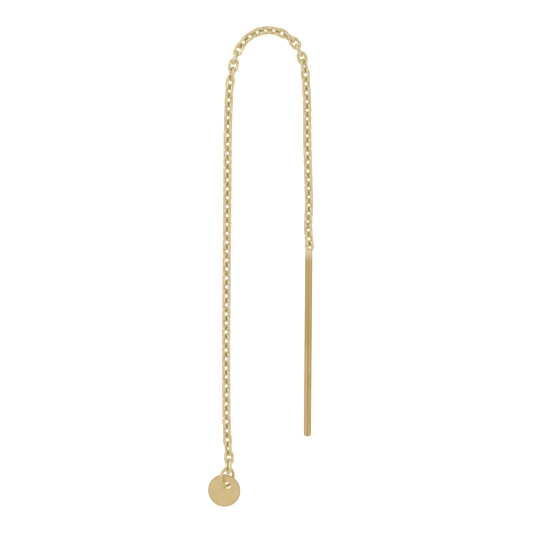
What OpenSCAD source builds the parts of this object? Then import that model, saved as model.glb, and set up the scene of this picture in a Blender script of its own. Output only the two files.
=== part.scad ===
// Threader earring, lying flat: a disc on a jump ring, a long cable chain laid in an arch, and a straight bar.
// Millimetres. The surface that it lies on is z = 0, the bar points along -Y and the arch is at +Y.

/* [Disc] */
// Diameter of the disc
disc_d = 4.04; // [3.9:0.02:4.2]
// Thickness of the disc
disc_t = 0.25; // [0.2:0.01:0.26]
// Rounding of the disc's outer edge
disc_round = 0.08; // [0.04:0.01:0.09]
// Diameter of the hole that the jump ring goes through
hole_d = 0.88; // [0.86:0.01:1]
// Distance from the disc's middle to the hole's middle
hole_offset = 0.78; // [0.76:0.01:0.8]

/* [Jump ring] */
// Outer diameter of the jump ring
ring_d = 2.62; // [2.6:0.01:2.64]
// Thickness of its wire
ring_wire = 0.36; // [0.3:0.01:0.37]

/* [Chain] */
// Outer width of a link
link_w = 1.34; // [1.3:0.01:1.36]
// Thickness of its wire
link_wire = 0.34; // [0.28:0.01:0.34]
// Inner length of a link
link_inner = 1.26; // [1.24:0.01:1.28]
// Inner length of the end link, which is shorter and soldered to the bar
end_inner = 0.86; // [0.84:0.01:0.9]

/* [Threader bar] */
// Diameter of the bar
bar_d = 0.92; // [0.8:0.01:1]
// Length of the bar, without the link at its top
bar_l = 23.25; // [22:0.05:24]
// Rounding of the bar's free end
tip_round = 0.32; // [0.2:0.01:0.4]
// Rounding of the bar's end at the chain
shoulder_round = 0.12; // [0.05:0.01:0.2]

/* [Hidden] */
$fn = 48;

// Where the disc's middle is seen from above, and how it lies: its edge leans on the surface, its hole side is up
disc_at = [-4.6, -28.05];
disc_tilt = 12;
disc_uphill = 32;
hole_bearing = 56;

// Middle of the jump ring seen from above, the bearing of its level diameter and how steeply it leans
ring_at = [-4.25, -26.36];
ring_bearing = 76;
ring_lean = 47.4;
ring_lift = 0.01;

// Top of the bar seen from above, and the bearing that it points along
bar_at = [5.98, 1.95];
bar_bearing = -90.46;

// Links 1 to 79 are loose and the first of them holds the jump ring. The last link is soldered to the bar.
loose_links = 79;
end_link = 80;

// Centre line of a link: two half circles of this radius joined by two straight sides
bend_r = (link_w - link_wire) / 2;

// Each link is rolled half a right angle, to the left and to the right in turn, as a chain lies on a flat surface
lie_roll = 45;

// The chain's route. A row gives a link's number, the place of its middle and the twist added to its roll.
// The twist turns the chain by a quarter at each side of the arch, where it shows one flat link and one on edge.
LINK = 0;
X = 1;
Y = 2;
Z = 3;
TWIST = 4;
ROUTE = [
    // link, x, y, z, twist
    [0, -4.00, -26.30, 1.50, -22],
    [1, -4.05, -25.00, 1.02, -22],
    [2, -4.00, -23.90, 0.80, -16],
    [3, -4.10, -22.80, 0.70, -11],
    [4, -4.20, -21.70, 0.58, -6],
    [5, -4.25, -20.58, 0.53, 0],
    [12, -4.35, -12.75, 0.53, 0],
    [22, -4.30, -1.50, 0.53, 0],
    [32, -4.20, 9.65, 0.53, 0],
    [40, -4.10, 18.55, 0.53, 0],
    [43, -3.95, 21.85, 0.56, -3],
    [44, -3.85, 22.95, 0.62, -7],
    [45, -3.65, 24.00, 0.66, -24],
    [46, -3.45, 25.05, 0.67, -43],
    [47, -3.20, 26.05, 0.70, -56],
    [48, -2.80, 27.05, 0.62, -74],
    [49, -2.20, 27.95, 0.62, -86],
    [50, -1.40, 28.70, 0.54, -90],
    [52, 0.55, 29.45, 0.55, -88],
    [54, 2.60, 29.10, 0.58, -80],
    [55, 3.50, 28.55, 0.65, -68],
    [56, 4.25, 27.85, 0.68, -59],
    [57, 4.75, 26.95, 0.70, -40],
    [58, 5.15, 26.00, 0.68, -24],
    [59, 5.40, 25.00, 0.65, -12],
    [60, 5.55, 23.90, 0.60, -6],
    [62, 5.70, 21.65, 0.53, 0],
    [68, 5.80, 15.20, 0.53, 0],
    [73, 5.95, 9.70, 0.53, 0],
    [75, 6.00, 7.62, 0.53, 0],
    [77, 5.90, 5.54, 0.54, 0],
    [78, 5.90, 4.52, 0.53, 0],
    [79, 6.00, 3.39, 0.53, 0],
    [80, 6.05, 2.50, 0.48, -10],
    [81, 6.05, 1.20, 0.46, -10],
];
last_row = len(ROUTE) - 1;

// A straight line's value at part u of the way from a to b
function between(a, b, u) = a + (b - a) * u;

// The row of the route at or before link n
function row_of(n) = min(last_row - 1, max([for (i = [0:last_row]) if (ROUTE[i][LINK] <= n) i]));

// How fast column c changes from row i to the next
function rise(i, c) = (ROUTE[i + 1][c] - ROUTE[i][c]) / (ROUTE[i + 1][LINK] - ROUTE[i][LINK]);

// How fast column c changes at row i, between the stretches before and after it
function slope(i, c) =
    i == 0 ? rise(0, c)
    : i == last_row ? rise(i - 1, c)
    : let (before = ROUTE[i][LINK] - ROUTE[i - 1][LINK], after = ROUTE[i + 1][LINK] - ROUTE[i][LINK])
      (rise(i - 1, c) * after + rise(i, c) * before) / (before + after);

// Column c on a smooth curve through the rows
function smooth(n, c) =
    let (
        i = row_of(n),
        links = ROUTE[i + 1][LINK] - ROUTE[i][LINK],
        u = (n - ROUTE[i][LINK]) / links,
        ease = u * u * (3 - 2 * u)
    )
    between(ROUTE[i][c], ROUTE[i + 1][c], ease)
    + links * slope(i, c) * u * (1 - u) * (1 - u)
    - links * slope(i + 1, c) * u * u * (1 - u);

// Column c on straight lines between the rows
function straight(n, c) =
    let (i = row_of(n))
    ROUTE[i][c] + rise(i, c) * (n - ROUTE[i][LINK]);

function middle_of(n) = [smooth(n, X), smooth(n, Y), straight(n, Z)];
function roll_of(n) = (n % 2 == 0 ? lie_roll : -lie_roll) + straight(n, TWIST);

// A quarter circle of points from angle a, about (x, y), for the outline of a turned part
function corner(x, y, r, a) = [for (step = [0:6]) [x + r * cos(a + 15 * step), y + r * sin(a + 15 * step)]];

// One link about its own middle, its length along X and its width along Y
module link(inner) {
    side_l = inner + link_wire - 2 * bend_r;
    for (end = [-1, 1]) {
        translate([end * side_l / 2, 0, 0])
            rotate([0, 0, -90 * end])
                rotate_extrude(angle = 180)
                    translate([bend_r, 0])
                        circle(d = link_wire);
        translate([-side_l / 2, end * bend_r, 0])
            rotate([0, 90, 0])
                cylinder(d = link_wire, h = side_l);
    }
}

// Link n in its place, pointing from the link before it to the link after it
module placed_link(n, inner) {
    run = middle_of(n + 1) - middle_of(n - 1);
    climb = atan2(run[2], norm([run[0], run[1]]));
    bearing = atan2(run[1], run[0]);
    translate(middle_of(n))
        rotate([roll_of(n), -climb, bearing])
            link(inner);
}

// The flat round charm, its rim rounded, with one hole off its middle
module disc() {
    r = disc_d / 2;
    half = disc_t / 2;
    outline = concat(
        [[0, -half]],
        corner(r - disc_round, disc_round - half, disc_round, -90),
        corner(r - disc_round, half - disc_round, disc_round, 0),
        [[0, half]]
    );
    middle_z = r * sin(disc_tilt) + half * cos(disc_tilt);
    color("#d8bd7c")
        translate([disc_at[0], disc_at[1], middle_z])
            rotate([0, 0, disc_uphill])
                rotate([0, -disc_tilt, 0])
                    difference() {
                        rotate_extrude()
                            polygon(outline);
                        rotate([0, 0, hole_bearing - disc_uphill])
                            translate([hole_offset, 0, -disc_t])
                                cylinder(d = hole_d, h = 2 * disc_t);
                    }
}

// The ring leans across the disc's rim: its left side is over the disc and its right side is under it
module jump_ring() {
    ring_r = (ring_d - ring_wire) / 2;
    middle_z = ring_r * sin(ring_lean) + ring_wire / 2 + ring_lift;
    color("#d6b974")
        translate([ring_at[0], ring_at[1], middle_z])
            rotate([0, 0, ring_bearing])
                rotate([ring_lean, 0, 0])
                    rotate_extrude()
                        translate([ring_r, 0])
                            circle(d = ring_wire);
}

// The loose links, each clear of the next
module chain() {
    color("#dcc48a")
        for (n = [1:loose_links])
            placed_link(n, link_inner);
}

// The straight post, its free end rounded for threading, with the chain's last link soldered into its top
module threader_bar() {
    r = bar_d / 2;
    outline = concat(
        [[0, 0]],
        corner(r - shoulder_round, shoulder_round, shoulder_round, -90),
        corner(r - tip_round, bar_l - tip_round, tip_round, 0),
        [[0, bar_l]]
    );
    color("#cfb36c") {
        translate([bar_at[0], bar_at[1], r])
            rotate([0, 90, bar_bearing])
                rotate_extrude()
                    polygon(outline);
        placed_link(end_link, end_inner);
    }
}

disc();
jump_ring();
chain();
threader_bar();
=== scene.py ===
"""Threader earring lying on a white surface, seen from straight above.

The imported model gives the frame. Each piece is built here as a finer mesh in its node's own place. Lengths
are in millimetres until a mesh is finished, and in metres in Blender. +Y runs up the photo and +Z out of it.
"""
import math

import bmesh
import bpy
import numpy as np
from mathutils import Euler, Matrix, Vector


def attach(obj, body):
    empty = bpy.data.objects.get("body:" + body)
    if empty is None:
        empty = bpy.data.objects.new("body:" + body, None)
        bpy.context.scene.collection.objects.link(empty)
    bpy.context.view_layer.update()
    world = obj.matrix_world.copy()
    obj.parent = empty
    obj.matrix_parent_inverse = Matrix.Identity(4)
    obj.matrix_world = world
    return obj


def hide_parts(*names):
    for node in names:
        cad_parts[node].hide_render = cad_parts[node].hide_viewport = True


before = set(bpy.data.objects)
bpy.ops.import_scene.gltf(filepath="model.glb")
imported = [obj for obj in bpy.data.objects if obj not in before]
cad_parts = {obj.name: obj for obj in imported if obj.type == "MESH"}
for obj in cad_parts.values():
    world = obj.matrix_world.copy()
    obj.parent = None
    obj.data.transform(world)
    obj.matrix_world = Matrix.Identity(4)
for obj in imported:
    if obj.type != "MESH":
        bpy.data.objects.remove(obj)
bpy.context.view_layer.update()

MM = 0.001
BODY = "root"

# Disc, as in the part's source, but its rim reaches a little further out and its hole is a little smaller
DISC_R = 2.05
DISC_T = 0.25
DISC_ROUND = 0.08
DISC_AT = (-4.6, -28.05)
DISC_TILT = 12
DISC_UPHILL = 32
HOLE_R = 0.42
HOLE_OFFSET = 0.78
HOLE_BEARING = 56
HOLE_ROUND = 0.04
DISC_AROUND = 144

# Jump ring, in the source's place, with the real ring's wire. Its butt joint is at this part of a turn.
RING_R = 1.13
RING_WIRE = 0.39
RING_AT = (-4.25, -26.36)
RING_BEARING = 76
RING_LEAN = 47.4
RING_LIFT = 0.01
RING_JOINT = 0.62
RING_JOINT_W = 0.006
RING_JOINT_PINCH = 0.10
RING_STEPS = 120
RING_JOINT_STEP = 0.0025

# Links: a hair wider than the source's, with the real chain's wire. Each just spans the way to its
# neighbours, and its hold on them has this much play. Only the first, at the jump ring, hangs slack and
# has its full inner length.
LINK_WIRE = 0.39
LINK_BEND_R = 0.485
LINK_PLAY = 0.022
FIRST_LINK_INNER = 1.28
LINK_FUSED_L = 0.11
LINK_BEND_STEPS = 14
LINK_SIDE_STEPS = 8
NEIGHBOUR_WITHIN = 1.5

# Threader bar, the dome of solder on its top and the link that it holds
BAR_R = 0.46
BAR_L = 23.25
BAR_AT = (5.98, 1.95)
BAR_BEARING = -90.46
TIP_ROUND = 0.32
SHOULDER_ROUND = 0.05
SOLDER_REACH = 0.24
SOLDER_SPREAD = 0.44
SOLDER_DEPTH = 0.25
END_LINK_SIDE = 0.12
END_LINK_AT = (6.05, 2.50, 0.48)
END_LINK_RUN = (0.05, -2.19, -0.07)
END_LINK_ROLL = 35

# Camera: the photo's frame is VIEW_W wide at VIEW_Z over the surface, about as high as the links' middles,
# and its middle is a little right of the part's. The camera looks straight down from VIEW_FROM above that.
VIEW_W = 66.625
VIEW_AT = (0.6875, -0.056)
VIEW_Z = 0.5
VIEW_FROM = 600
SENSOR_W = 36


def pose(at, degrees):
    """The matrix that turns about X, then Y, then Z, and then moves to at."""
    turn = Euler([math.radians(a) for a in degrees]).to_matrix().to_4x4()
    return Matrix.Translation(Vector(at)) @ turn


def arc(centre, radius, start, end, steps):
    """Points on an arc in a plane, from one angle to another in degrees."""
    angles = [math.radians(start + (end - start) * i / steps) for i in range(steps + 1)]
    return [(centre[0] + radius * math.cos(a), centre[1] + radius * math.sin(a)) for a in angles]


def grid_faces(rows, columns, close_rows, first=0):
    """Quads between rows of points, each row a closed loop of columns."""
    faces = []
    for r in range(rows if close_rows else rows - 1):
        below = (r + 1) % rows
        for c in range(columns):
            right = (c + 1) % columns
            faces.append(tuple(first + k for k in (
                r * columns + c, r * columns + right, below * columns + right, below * columns + c)))
    return faces


def new_mesh(name, points, faces, scale=MM):
    """A smooth mesh from points in millimetres, its faces turned outwards."""
    mesh = bpy.data.meshes.new(name)
    mesh.from_pydata([tuple(scale * v for v in p) for p in points], [], faces)
    work = bmesh.new()
    work.from_mesh(mesh)
    bmesh.ops.recalc_face_normals(work, faces=work.faces)
    work.to_mesh(mesh)
    work.free()
    mesh.polygons.foreach_set("use_smooth", [True] * len(mesh.polygons))
    return mesh


def add_piece(name, mesh, material, node):
    """Puts a finished mesh in the scene in place of its CAD node."""
    piece = bpy.data.objects.new(name, mesh)
    bpy.context.scene.collection.objects.link(piece)
    mesh.materials.clear()
    mesh.materials.append(material)
    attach(piece, BODY)
    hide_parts(node)
    return piece


def tube_loop(centres, outwards, up, radii, sides):
    """A closed tube round a flat loop. outwards is the way out of it at each centre, and up its normal."""
    points = []
    for centre, out, radius in zip(centres, outwards, radii):
        for k in range(sides):
            a = 2 * math.pi * k / sides
            points.append(centre + (out * math.cos(a) + up * math.sin(a)) * radius)
    return points, grid_faces(len(centres), sides, True)


def turned(outline, sides):
    """A solid turned about Z. Its outline is (radius, height) pairs and starts and ends on the axis."""
    points = [Vector((0, 0, outline[0][1]))]
    for r, z in outline[1:-1]:
        for k in range(sides):
            a = 2 * math.pi * k / sides
            points.append(Vector((r * math.cos(a), r * math.sin(a), z)))
    points.append(Vector((0, 0, outline[-1][1])))
    rings = len(outline) - 2
    faces = grid_faces(rings, sides, False, first=1)
    last = len(points) - 1
    for k in range(sides):
        after = (k + 1) % sides
        faces.append((0, 1 + k, 1 + after))
        faces.append((last, last - sides + after, last - sides + k))
    return points, faces


# Materials

# How far inside the disc's rim its painted shade, a greyer tone, starts and is full, how far below the bar's
# top the paler tone of the solder ends and is full, and the Y where the bar's painted dark reflection line
# starts to fade and ends
RIM_SHADE = (0.24, 0.13)
SOLDER_TONE = (1.5, 0.2)
DARK_REFLECTION_FADE = (-16.8, -20.8)

# Scale of the fine marks and of the dents, over a millimetre
MARK_SCALE = 9.0
DENT_SCALE = 3.2


def nodes_of(tree):
    """Short maker of nodes in a tree: make(type, inputs by name or index, attributes)."""
    def make(kind, inputs=None, **attributes):
        node = tree.nodes.new(kind)
        for key, value in attributes.items():
            setattr(node, key, value)
        for key, value in (inputs or {}).items():
            if isinstance(value, bpy.types.NodeSocket):
                tree.links.new(value, node.inputs[key])
            else:
                node.inputs[key].default_value = value
        return node
    return make


def ramp(make, value, low, high, from_value, to_value, kind="LINEAR"):
    """A value that changes from one to another while the given one goes from low to high."""
    return make("ShaderNodeMapRange", {
        0: value, 1: low, 2: high, 3: from_value, 4: to_value}, interpolation_type=kind).outputs[0]


def soft_step(make, value, low, high, from_value, to_value):
    """The same with a soft start and end."""
    return ramp(make, value, low, high, from_value, to_value, "SMOOTHSTEP")


def noise(make, place, scale, detail, roughness):
    """A noise pattern from 0 to 1."""
    return make("ShaderNodeTexNoise", {
        "Vector": place, "Scale": scale, "Detail": detail, "Roughness": roughness}).outputs["Fac"]


def mix_colours(make, share, first, second):
    """The first colour where share is 0, and the second where it is 1."""
    return make("ShaderNodeMix", {"Factor": share, 6: first, 7: second}, data_type="RGBA").outputs[2]


def rim_shade_share(make, in_mm):
    """0 on the disc's face and 1 along its cut edge, which is rougher and carries a painted shade: a greyer,
    darker tone.
    """
    away = make("ShaderNodeVectorMath", {0: in_mm, 1: (*DISC_AT, disc_middle_z())}, operation="DISTANCE")
    return ramp(make, away.outputs["Value"], DISC_R - RIM_SHADE[0], DISC_R - RIM_SHADE[1], 0.0, 1.0)


def solder_share(make, in_mm):
    """1 at the bar's top, where the heat of soldering has left it paler, and 0 further down."""
    part = make("ShaderNodeSeparateXYZ", {0: in_mm})
    top = BAR_AT[1]
    return soft_step(make, part.outputs["Y"], top - SOLDER_TONE[0], top - SOLDER_TONE[1], 0.0, 1.0)


def line_share(make, in_mm, across, half_w, starts, full):
    """1 along a line down the bar, across millimetres from its axis, and 0 beside it.

    Down the bar the line grows in from the Y where it starts to the Y where it is full.
    """
    lean = -math.tan(math.radians(BAR_BEARING + 90))
    line_x = BAR_AT[0] - lean * BAR_AT[1] + across
    over = make("ShaderNodeVectorMath", {0: in_mm, 1: (1, -lean, 0)}, operation="DOT_PRODUCT")
    at = make("ShaderNodeMath", {0: over.outputs["Value"], 1: line_x}, operation="SUBTRACT")
    away = make("ShaderNodeMath", {0: at.outputs[0]}, operation="ABSOLUTE")
    near = soft_step(make, away.outputs[0], 0.3 * half_w, half_w, 1.0, 0.0)
    part = make("ShaderNodeSeparateXYZ", {0: in_mm})
    below = soft_step(make, part.outputs["Y"], full, starts, 1.0, 0.0)
    return make("ShaderNodeMath", {0: near, 1: below}, operation="MULTIPLY").outputs[0]


def painted_sheen_share(make, in_mm):
    """A painted highlight: a paler sheen line down the left side of the bar's lower half."""
    return line_share(make, in_mm, across=-0.23, half_w=0.20, starts=-8.5, full=-12.5)


def dark_reflection_share(make, in_mm):
    """A painted dark reflection: a fine darker line down the bar's middle, that fades towards the tip."""
    line = line_share(make, in_mm, across=-0.01, half_w=0.11, starts=-2.0, full=-6.0)
    part = make("ShaderNodeSeparateXYZ", {0: in_mm})
    left = soft_step(make, part.outputs["Y"], DARK_REFLECTION_FADE[1], DARK_REFLECTION_FADE[0], 0.0, 1.0)
    return make("ShaderNodeMath", {0: line, 1: left}, operation="MULTIPLY").outputs[0]


def gold(name, pale, deep, rough, stretch, turn, cloud_scale, scratch_depth, dent_depth=0.012, edge=1.0,
         patches=()):
    """Polished gold: a slow drift between two tones, fine marks along one direction and tiny dents.

    pale and deep are the two tones, and cloud_scale is how often they change over a millimetre. rough is the
    lowest and highest roughness. stretch squeezes the marks across their direction, and turn is that
    direction in degrees. scratch_depth and dent_depth are in millimetres. edge is how much of its brightness
    the metal keeps at a grazing angle. Each of the patches gives a function for where the surface differs,
    with its tone and roughness there.
    """
    material = bpy.data.materials.new(name)
    material.use_nodes = True
    tree = material.node_tree
    tree.nodes.clear()
    make = nodes_of(tree)
    place = make("ShaderNodeTexCoord").outputs["Object"]
    in_mm = make("ShaderNodeMapping", {"Vector": place, "Scale": (1000, 1000, 1000)}).outputs[0]
    along = make("ShaderNodeMapping", {
        "Vector": in_mm, "Rotation": (0, 0, math.radians(turn)), "Scale": stretch}).outputs[0]
    clouds = noise(make, in_mm, cloud_scale, detail=3.0, roughness=0.55)
    marks = noise(make, along, MARK_SCALE, detail=4.0, roughness=0.6)
    dents = noise(make, in_mm, DENT_SCALE, detail=2.0, roughness=0.5)
    dent_bump = make("ShaderNodeBump", {"Height": dents, "Distance": dent_depth * MM, "Strength": 1.0})
    mark_bump = make("ShaderNodeBump", {
        "Height": marks, "Distance": scratch_depth * MM, "Strength": 1.0, "Normal": dent_bump.outputs[0]})
    base = mix_colours(make, ramp(make, clouds, 0.36, 0.64, 0.0, 1.0), (*deep, 1), (*pale, 1))
    dull = ramp(make, marks, 0.3, 0.7, rough[0], rough[1])
    for share_of, patch_tone, patch_rough in patches:
        share = share_of(make, in_mm)
        base = mix_colours(make, share, base, (*patch_tone, 1))
        dull = make("ShaderNodeMix", {"Factor": share, 2: dull, 3: patch_rough}).outputs[0]
    shader = make("ShaderNodeBsdfPrincipled", {
        "Base Color": base, "Metallic": 1.0, "Roughness": dull, "Normal": mark_bump.outputs[0],
        "Specular Tint": (edge, edge, edge, 1)})
    make("ShaderNodeOutputMaterial", {"Surface": shader.outputs[0]})
    return material


def disc_gold():
    """The disc's flat faces, with handling marks to one side, and its cut rim: rougher, with a painted shade
    in a greyer, darker tone.
    """
    return gold(
        "disc_gold", pale=(0.91, 0.716, 0.375), deep=(0.875, 0.676, 0.335), rough=(0.30, 0.38),
        stretch=(0.5, 2.4, 1.0), turn=38, cloud_scale=0.9, scratch_depth=0.0012, edge=0.6,
        # Painted shade: the greyer, darker tone along the rim, which is also rougher
        patches=[(rim_shade_share, (0.72, 0.615, 0.38), 0.48)])


def ring_gold():
    """The jump ring's bright wire."""
    return gold(
        "ring_gold", pale=(0.87, 0.72, 0.42), deep=(0.83, 0.675, 0.385), rough=(0.26, 0.38),
        stretch=(1.0, 1.0, 1.0), turn=0, cloud_scale=1.6, scratch_depth=0.0010, edge=0.85)


def chain_gold():
    """The links' bright wire, the palest of the four."""
    return gold(
        "chain_gold", pale=(0.895, 0.782, 0.525), deep=(0.84, 0.722, 0.452), rough=(0.26, 0.38),
        stretch=(1.0, 1.0, 1.0), turn=0, cloud_scale=1.1, scratch_depth=0.0012)


def bar_gold():
    """The post, drawn along its length, and deeper in tone than the rest: its darker tones are painted
    shade.
    """
    patches = [
        # Painted highlight: a paler line down the bar's left side
        (painted_sheen_share, (0.80, 0.60, 0.31), 0.36),
        # Painted reflection: a darker line down the bar's middle, for the dark overhead that it mirrors
        (dark_reflection_share, (0.585, 0.42, 0.155), 0.42),
        (solder_share, (0.895, 0.745, 0.49), 0.38),
    ]
    return gold(
        # Painted shade: tones darker than the other golds'
        "bar_gold", pale=(0.65, 0.505, 0.230), deep=(0.595, 0.455, 0.188), rough=(0.36, 0.48),
        stretch=(3.2, 0.12, 3.2), turn=BAR_BEARING + 90, cloud_scale=0.5, scratch_depth=0.0020,
        dent_depth=0.004, patches=patches)


# Disc

def disc_middle_z():
    """Height of the disc's middle, its lower edge on the surface."""
    tilt = math.radians(DISC_TILT)
    return DISC_R * math.sin(tilt) + DISC_T / 2 * math.cos(tilt)


def disc_rows():
    """Rows round the disc's section: the share of the way to the rim, how far past it, and the height."""
    half = DISC_T / 2
    rows = []
    for dx, z in arc((0, 0), HOLE_ROUND, 180, 90, 5):
        rows.append((0.0, HOLE_ROUND + dx, half - HOLE_ROUND + z))
    for share in (0.02, 0.1, 0.25, 0.5, 0.75, 0.92):
        rows.append((share, HOLE_ROUND * (1 - share) - DISC_ROUND * share, half))
    for dx, z in arc((0, 0), DISC_ROUND, 90, 0, 8):
        rows.append((1.0, dx - DISC_ROUND, half - DISC_ROUND + z))
    return rows + [(share, past, -z) for share, past, z in reversed(rows)]


def make_disc(material):
    """The flat round charm: its rim and the hole's edges are rounded, and the hole is off its middle."""
    hole_at = Vector((HOLE_OFFSET, 0, 0))
    points = []
    rows = disc_rows()
    for share, past, z in rows:
        for k in range(DISC_AROUND):
            a = 2 * math.pi * k / DISC_AROUND
            ray = Vector((math.cos(a), math.sin(a), 0))
            inner = hole_at + ray * HOLE_R
            outer = ray * DISC_R
            p = inner.lerp(outer, share) + ray * past
            p.z = z
            points.append(p)
    place = (
        pose((*DISC_AT, disc_middle_z()), (0, -DISC_TILT, DISC_UPHILL))
        @ pose((0, 0, 0), (0, 0, HOLE_BEARING - DISC_UPHILL)))
    mesh = new_mesh("disc_fine", [place @ p for p in points], grid_faces(len(rows), DISC_AROUND, True))
    return add_piece("disc_fine", mesh, material, "disc")


# Jump ring and links

def ring_section(turn):
    """The wire's radius round the ring: a fine butt joint pinches it at one place."""
    away = abs(turn - RING_JOINT)
    near = min(away, 1 - away)
    return RING_WIRE / 2 * (1 - RING_JOINT_PINCH * math.exp(-(near / RING_JOINT_W) ** 2))


def ring_turns():
    """Steps round the ring, closer together at its joint."""
    even = [i / RING_STEPS for i in range(RING_STEPS)]
    close = [RING_JOINT + RING_JOINT_STEP * i for i in range(-6, 7)]
    return sorted(set(even + close))


def make_ring(material):
    """The jump ring leans across the disc's edge: over it on the left and under it on the right."""
    turns = ring_turns()
    angles = [2 * math.pi * t for t in turns]
    out = [Vector((math.cos(a), math.sin(a), 0)) for a in angles]
    radii = [ring_section(t) for t in turns]
    points, faces = tube_loop([o * RING_R for o in out], out, Vector((0, 0, 1)), radii, sides=28)
    middle_z = RING_R * math.sin(math.radians(RING_LEAN)) + RING_WIRE / 2 + RING_LIFT
    place = pose((*RING_AT, middle_z), (0, 0, RING_BEARING)) @ pose((0, 0, 0), (RING_LEAN, 0, 0))
    mesh = new_mesh("jump_ring_fine", [place @ p for p in points], faces)
    return add_piece("jump_ring_fine", mesh, material, "jump_ring")


def link_path(side):
    """Centre line of a link and its outward directions: two half circles and two straight sides."""
    half = side / 2
    centres, outwards = [], []
    for end in (1, -1):
        for i in range(LINK_BEND_STEPS + 1):
            a = math.pi * (i / LINK_BEND_STEPS - 0.5) + (0 if end == 1 else math.pi)
            out = Vector((math.cos(a), math.sin(a), 0))
            centres.append(Vector((end * half, 0, 0)) + out * LINK_BEND_R)
            outwards.append(out)
        for i in range(1, LINK_SIDE_STEPS):
            centres.append(Vector((end * (half - side * i / LINK_SIDE_STEPS), end * LINK_BEND_R, 0)))
            outwards.append(Vector((0, end, 0)))
    return centres, outwards


def link_radius(centre, joint_side, swell):
    """The wire's radius at a centre. It swells where its ends were fused, in the middle of one side."""
    on_joint_side = centre.y * joint_side >= LINK_BEND_R * 0.98
    if not on_joint_side:
        return LINK_WIRE / 2
    return LINK_WIRE / 2 * (1 + swell * math.exp(-(centre.x / LINK_FUSED_L) ** 2))


def link_shape(side, joint_side, swell, sides=16):
    """Points and faces of one link about its own middle, its length along X."""
    centres, outwards = link_path(side)
    radii = [link_radius(c, joint_side, swell) for c in centres]
    return tube_loop(centres, outwards, Vector((0, 0, 1)), radii, sides)


def loose_solids(node):
    """The loose solids of a CAD node, each as an array of its face middles and areas, in millimetres."""
    work = bmesh.new()
    work.from_mesh(node.data)
    bmesh.ops.remove_doubles(work, verts=work.verts, dist=0.0005 * MM)
    work.faces.ensure_lookup_table()
    seen = set()
    solids = []
    for face in work.faces:
        if face.index in seen:
            continue
        seen.add(face.index)
        stack, rows = [face], []
        while stack:
            here = stack.pop()
            rows.append((*(here.calc_center_median() / MM), here.calc_area()))
            for edge in here.edges:
                for other in edge.link_faces:
                    if other.index not in seen:
                        seen.add(other.index)
                        stack.append(other)
        solids.append(np.array(rows))
    work.free()
    return solids


def link_places(node):
    """Where each link of the chain lies: its middle, its length's direction and its width's.

    They go from left to right and then upwards, so the link at the jump ring comes first.
    """
    places = []
    for rows in loose_solids(node):
        weights = rows[:, 3] / rows[:, 3].sum()
        middle = weights @ rows[:, :3]
        spread = rows[:, :3] - middle
        values, axes = np.linalg.eigh((spread * weights[:, None]).T @ spread)
        length, width = Vector(axes[:, 2]), Vector(axes[:, 1])
        thick = length.cross(width)
        turn = Matrix((length, width, thick)).transposed().to_4x4()
        places.append(Matrix.Translation(Vector(middle)) @ turn)
    return sorted(places, key=lambda place: (round(place.translation.x), place.translation.y))


def link_side(place, places):
    """Length of a link's straight sides, so that it reaches round the wires of its neighbours."""
    ways = [(place.translation - other.translation).length for other in places if other is not place]
    pitch = max(way for way in ways if way < NEIGHBOUR_WITHIN)
    return pitch + LINK_PLAY + LINK_WIRE - 2 * LINK_BEND_R


def make_chain(material):
    """All loose links in one piece, each with its fused joint on one side or the other."""
    rng = np.random.default_rng(11)
    points, faces = [], []
    places = link_places(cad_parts["chain"])
    first_side = FIRST_LINK_INNER + LINK_WIRE - 2 * LINK_BEND_R
    for place in places:
        joint_side = 1 if rng.random() < 0.5 else -1
        side = first_side if place is places[0] else link_side(place, places)
        own_points, own_faces = link_shape(side, joint_side, 0.03 + 0.04 * rng.random())
        first = len(points)
        points += [place @ p for p in own_points]
        faces += [tuple(first + k for k in face) for face in own_faces]
    mesh = new_mesh("chain_fine", points, faces)
    return add_piece("chain_fine", mesh, material, "chain")


# Threader bar

def bar_mesh():
    """The straight post about its own axis, from its shoulder at z = 0 to its rounded tip."""
    outline = [(0, 0), (0.12, 0.0), (0.24, 0.0)]
    outline += arc((BAR_R - SHOULDER_ROUND, SHOULDER_ROUND), SHOULDER_ROUND, -90, 0, 8)
    lengths = 40
    for i in range(1, lengths):
        outline.append((BAR_R, SHOULDER_ROUND + (BAR_L - SHOULDER_ROUND - TIP_ROUND) * i / lengths))
    outline += arc((BAR_R - TIP_ROUND, BAR_L - TIP_ROUND), TIP_ROUND, 0, 90, 12)
    outline += [(0.13, BAR_L), (0, BAR_L)]
    points, faces = turned(outline, sides=72)
    place = pose((*BAR_AT, BAR_R), (0, 90, BAR_BEARING))
    return new_mesh("bar_turned", [place @ p for p in points], faces, scale=1)


def solder_mesh():
    """The small dome of solder at the post's top, round the end link."""
    steps = 10
    outline = [(0, -SOLDER_DEPTH), (SOLDER_SPREAD * 0.9, -SOLDER_DEPTH)]
    for i in range(steps):
        a = math.pi / 2 * i / steps
        outline.append((SOLDER_SPREAD * math.cos(a), SOLDER_REACH * math.sin(a)))
    outline.append((0, SOLDER_REACH))
    points, faces = turned(outline, sides=48)
    place = pose((*BAR_AT, BAR_R), (0, -90, BAR_BEARING))
    return new_mesh("solder", [place @ p for p in points], faces, scale=1)


def end_link_mesh():
    """The chain's last link, which is soldered into the post."""
    run = Vector(END_LINK_RUN)
    bearing = math.degrees(math.atan2(run.y, run.x))
    climb = math.degrees(math.atan2(run.z, math.hypot(run.x, run.y)))
    points, faces = link_shape(END_LINK_SIDE, joint_side=1, swell=0.0, sides=20)
    place = pose(END_LINK_AT, (END_LINK_ROLL, -climb, bearing))
    return new_mesh("end_link", [place @ p for p in points], faces, scale=1)


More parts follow.
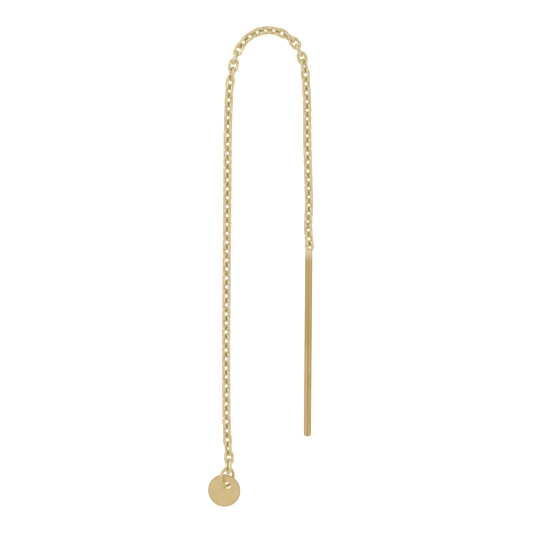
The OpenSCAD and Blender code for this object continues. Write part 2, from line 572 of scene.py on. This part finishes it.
def union(meshes, name):
    """One closed mesh from several that overlap."""
    objects = [bpy.data.objects.new(mesh.name, mesh) for mesh in meshes]
    for obj in objects:
        bpy.context.scene.collection.objects.link(obj)
    for other in objects[1:]:
        join = objects[0].modifiers.new("join", "BOOLEAN")
        join.operation = "UNION"
        join.solver = "EXACT"
        join.object = other
    bpy.context.view_layer.update()
    shown = objects[0].evaluated_get(bpy.context.evaluated_depsgraph_get())
    mesh = bpy.data.meshes.new_from_object(shown)
    mesh.name = name
    for obj in objects:
        bpy.data.objects.remove(obj)
    return mesh


def make_bar(material):
    """The post, its solder and its end link in one closed mesh."""
    mesh = union([bar_mesh(), solder_mesh(), end_link_mesh()], "threader_bar_fine")
    mesh.transform(Matrix.Scale(MM, 4))
    mesh.polygons.foreach_set("use_smooth", [True] * len(mesh.polygons))
    mesh.set_sharp_from_angle(angle=math.radians(38))
    return add_piece("threader_bar_fine", mesh, material, "threader_bar")


# Surroundings

def make_floor():
    """A plain white glowing surface. The metal mirrors the tent's lower half in place of its glare."""
    size = 4.0
    mesh = bpy.data.meshes.new("floor")
    corners = [(-size, -size, 0), (size, -size, 0), (size, size, 0), (-size, size, 0)]
    mesh.from_pydata(corners, [], [(0, 1, 2, 3)])
    floor = bpy.data.objects.new("floor", mesh)
    bpy.context.scene.collection.objects.link(floor)
    floor.location.z = -0.01 * MM
    material = bpy.data.materials.new("floor_white")
    material.use_nodes = True
    shader = material.node_tree.nodes["Principled BSDF"]
    shader.inputs["Base Color"].default_value = (0.70, 0.70, 0.70, 1)
    shader.inputs["Roughness"].default_value = 0.9
    shader.inputs["Specular IOR Level"].default_value = 0.0
    shader.inputs["Emission Color"].default_value = (1, 0.985, 0.81, 1)
    shader.inputs["Emission Strength"].default_value = 0.74
    mesh.materials.append(material)
    floor.visible_glossy = False


def make_world():
    """A soft white tent, darker straight above, and brighter on the left than on the right."""
    world = bpy.data.worlds.new("tent")
    bpy.context.scene.world = world
    world.use_nodes = True
    tree = world.node_tree
    tree.nodes.clear()
    make = nodes_of(tree)
    direction = make("ShaderNodeTexCoord").outputs["Generated"]
    part = make("ShaderNodeSeparateXYZ", {0: direction})
    side = ramp(make, part.outputs["X"], -1.0, 1.0, 0.745, 0.70)
    top = soft_step(make, part.outputs["Z"], 0.92, 1.0, 1.0, 0.80)
    low = soft_step(make, part.outputs["Z"], -0.35, 0.25, 1.08, 1.0)
    shade = make("ShaderNodeMath", {0: top, 1: low}, operation="MULTIPLY")
    level = make("ShaderNodeMath", {0: side, 1: shade.outputs[0]}, operation="MULTIPLY")
    back = make("ShaderNodeBackground", {"Color": (1.0, 0.985, 0.96, 1), "Strength": level.outputs[0]})
    make("ShaderNodeOutputWorld", {"Surface": back.outputs[0]})


def add_softbox(name, at, size, power):
    """A round area light that faces the earring."""
    light = bpy.data.lights.new(name, "AREA")
    light.shape = "DISK"
    light.size = size
    light.energy = power
    lamp = bpy.data.objects.new(name, light)
    bpy.context.scene.collection.objects.link(lamp)
    lamp.location = at
    lamp.rotation_mode = "QUATERNION"
    lamp.rotation_quaternion = (Vector((0, 0, 0)) - Vector(at)).to_track_quat("-Z", "Y")


def make_camera():
    """Straight above the middle of the photo's frame, and far away, so nearly without perspective."""
    data = bpy.data.cameras.new("camera")
    data.sensor_width = SENSOR_W
    data.lens = SENSOR_W * VIEW_FROM / VIEW_W
    data.clip_start = 0.01
    data.clip_end = 20
    camera = bpy.data.objects.new("camera", data)
    bpy.context.scene.collection.objects.link(camera)
    camera.location = (VIEW_AT[0] * MM, VIEW_AT[1] * MM, (VIEW_Z + VIEW_FROM) * MM)
    bpy.context.scene.camera = camera


make_camera()
make_disc(disc_gold())
make_ring(ring_gold())
make_chain(chain_gold())
make_bar(bar_gold())
make_floor()
make_world()
add_softbox("key", at=(-0.30, 0.22, 0.42), size=0.12, power=0.25)
add_softbox("fill", at=(0.36, -0.10, 0.34), size=0.10, power=0.12)
bpy.context.scene.view_settings.view_transform = "Standard"
bpy.context.scene.view_settings.look = "None"
